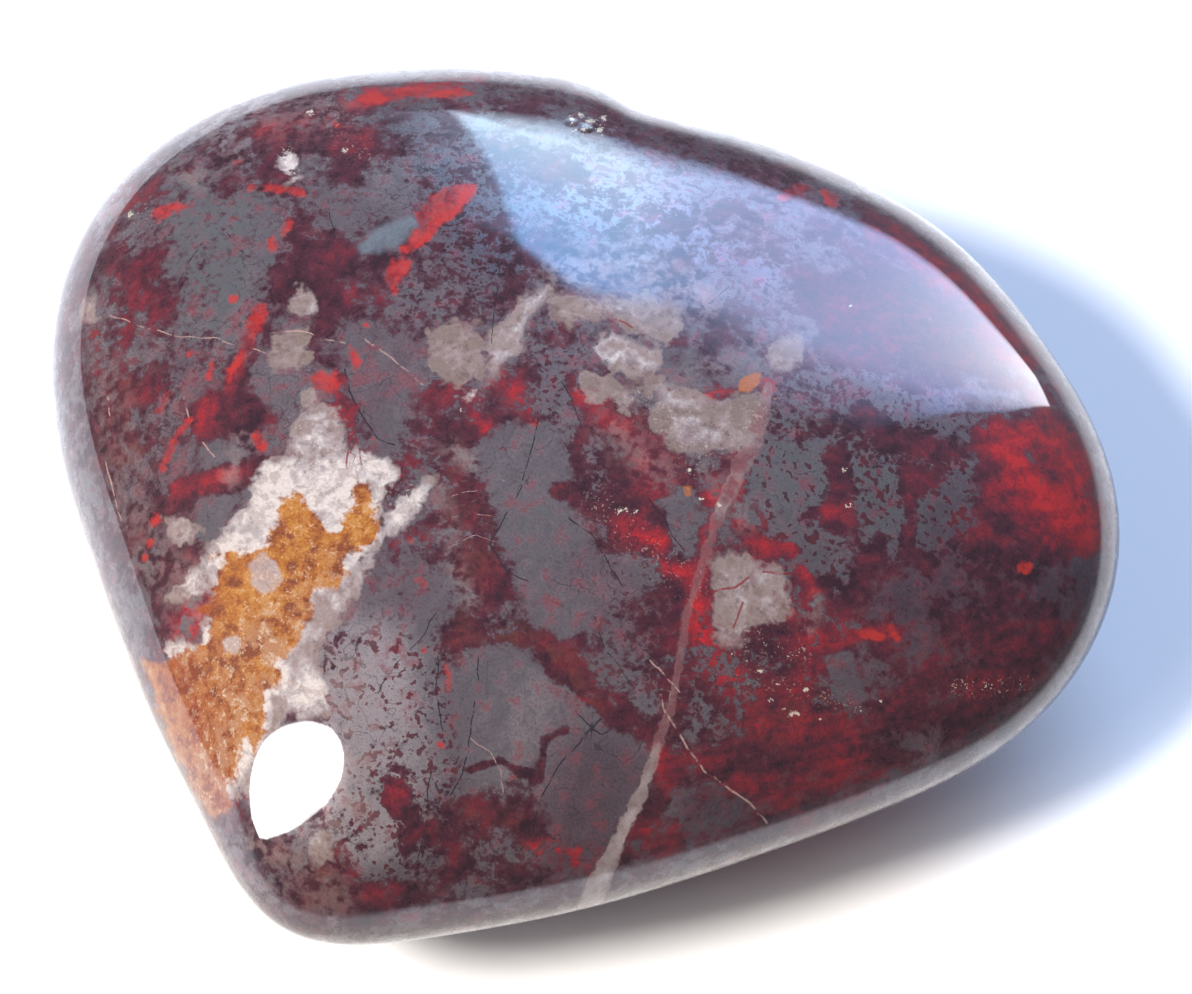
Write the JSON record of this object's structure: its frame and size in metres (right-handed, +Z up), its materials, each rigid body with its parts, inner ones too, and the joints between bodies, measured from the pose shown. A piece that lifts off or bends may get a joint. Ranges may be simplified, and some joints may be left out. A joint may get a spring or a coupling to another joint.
{
  "type": "polished jaspilite heart",
  "caption": "Palm stone of red jasper and grey hematite, ground to a heart, domed on both faces and polished, that lies on a small flat under its belly.",
  "frame": {"origin": "middle of the bounding box, at the height of the surface that the stone lies on", "axes": "+Z up, through the stone's thickness; +X across both lobes; the heart's tip points to -Y and its cleft opens to +Y"},
  "size_m": [0.0596, 0.0524, 0.0212],
  "materials": {
    "jaspilite": "high polish: maroon and red jasper with grey hematite islands, quartz pockets, an ochre patch and thin pale veins"
  },
  "bodies": {
    "root": {"heart": "jaspilite"}
  },
  "joints": []
}
